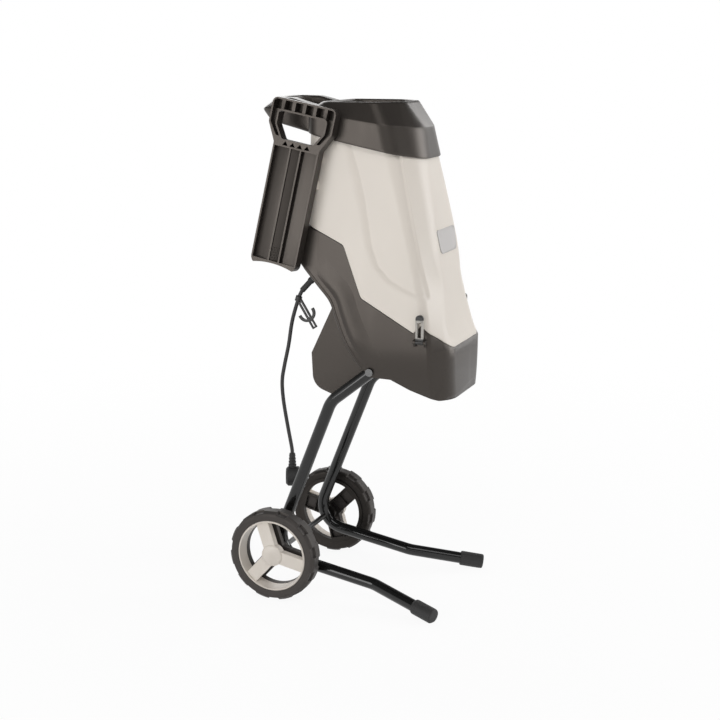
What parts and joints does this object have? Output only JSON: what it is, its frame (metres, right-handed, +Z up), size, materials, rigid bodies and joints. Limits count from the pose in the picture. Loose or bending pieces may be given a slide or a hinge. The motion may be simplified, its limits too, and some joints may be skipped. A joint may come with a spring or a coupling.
{
  "type": "garden shredder",
  "caption": "Upright garden shredder with a cream hopper hinged on a dark base, tube stand with wheels, discharge chute and a stowed pusher.",
  "frame": {"origin": "centre of the footprint on the floor", "axes": "+Z up, -Y to the front where the feet and latches are, +X to the machine's left"},
  "size_m": [0.3218, 0.404, 0.9144],
  "materials": {
    "frame_black": "gloss black powder coat",
    "housing_dark": "satin, fine grain",
    "hopper_cream": "satin",
    "wheel_black": "satin",
    "rubber": "matt",
    "black_plastic": "satin",
    "red_plastic": "gloss",
    "grey_plastic": "satin",
    "zinc_steel": "zinc plated",
    "blade_steel": "ground",
    "core_steel": "laminated",
    "copper": "enamelled wire"
  },
  "bodies": {
    "base": {"stand_tube_left": "frame_black", "stand_tube_right": "frame_black", "axle": "zinc_steel", "axle_clips": "zinc_steel", "foot_cap_left": "rubber", "foot_cap_right": "rubber", "stand_bolts": "zinc_steel", "stand_nuts": "zinc_steel", "base_housing": "housing_dark", "discharge_chute": "housing_dark", "rear_panel": "housing_dark", "cutter_deck": "housing_dark", "deck_screws": "zinc_steel", "motor_stator": "core_steel", "field_windings": "copper", "motor_bracket": "housing_dark", "motor_screws": "zinc_steel", "brush_holders": "black_plastic", "upper_bearing": "zinc_steel", "lower_bearing": "zinc_steel", "switch_body": "black_plastic", "overload_breaker": "black_plastic", "latch_pins": "zinc_steel", "hinge_pins": "zinc_steel", "cord_gland": "rubber", "cord": "rubber", "cord_hook": "black_plastic", "plug": "rubber", "plug_pins": "zinc_steel"},
    "hopper": {"hopper_shell": "hopper_cream", "hopper_collar": "housing_dark", "feed_chute": "housing_dark"},
    "pusher": {"pusher": "housing_dark"},
    "rotor": {"motor_shaft": "zinc_steel", "armature": "core_steel", "commutator": "copper", "cooling_fan": "housing_dark", "knife_disc": "blade_steel", "knives": "blade_steel", "knife_screws": "zinc_steel", "disc_nut": "zinc_steel"},
    "wheel_left": {"wheel_left": "wheel_black", "wheel_cover_left": "hopper_cream"},
    "wheel_right": {"wheel_right": "wheel_black", "wheel_cover_right": "hopper_cream"},
    "latch_left": {"latch_left": "black_plastic"},
    "latch_right": {"latch_right": "black_plastic"},
    "rocker": {"rocker_switch": "red_plastic"},
    "reset_button": {"reset_button": "grey_plastic"}
  },
  "joints": [
    {"name": "hopper_tilt", "type": "hinge", "parent": "base", "child": "hopper", "pos_m": [0, 0.07451, 0.69336], "axis": [-1, 0, 0], "range_deg": [0, 60]},
    {"name": "pusher_lift_off", "type": "slide", "parent": "hopper", "child": "pusher", "axis": [-0.9962, 0, 0.0872], "range_m": [0, 0.15]},
    {"name": "rotor_spin", "type": "hinge", "parent": "base", "child": "rotor", "pos_m": [0, -0.08449, 0.58735], "axis": [0, 0, 1], "continuous": true},
    {"name": "wheel_left_spin", "type": "hinge", "parent": "base", "child": "wheel_left", "pos_m": [0, 0.11699, 0.085], "axis": [1, 0, 0], "continuous": true},
    {"name": "wheel_right_spin", "type": "hinge", "parent": "base", "child": "wheel_right", "pos_m": [0, 0.11699, 0.085], "axis": [1, 0, 0], "continuous": true},
    {"name": "latch_left_swing", "type": "hinge", "parent": "base", "child": "latch_left", "pos_m": [0.1226, -0.15549, 0.50035], "axis": [0, 1, 0], "range_deg": [0, 110]},
    {"name": "latch_right_swing", "type": "hinge", "parent": "base", "child": "latch_right", "pos_m": [-0.1226, -0.15549, 0.50035], "axis": [0, -1, 0], "range_deg": [0, 110]},
    {"name": "rocker_tip", "type": "hinge", "parent": "base", "child": "rocker", "pos_m": [0.015, 0.04433, 0.59262], "axis": [1, 0, 0], "range_deg": [0, 14]},
    {"name": "reset_press", "type": "slide", "parent": "base", "child": "reset_button", "axis": [0, -0.8398, 0.5428], "range_m": [0, 0.003], "stiffness_N_per_m": 600}
  ]
}
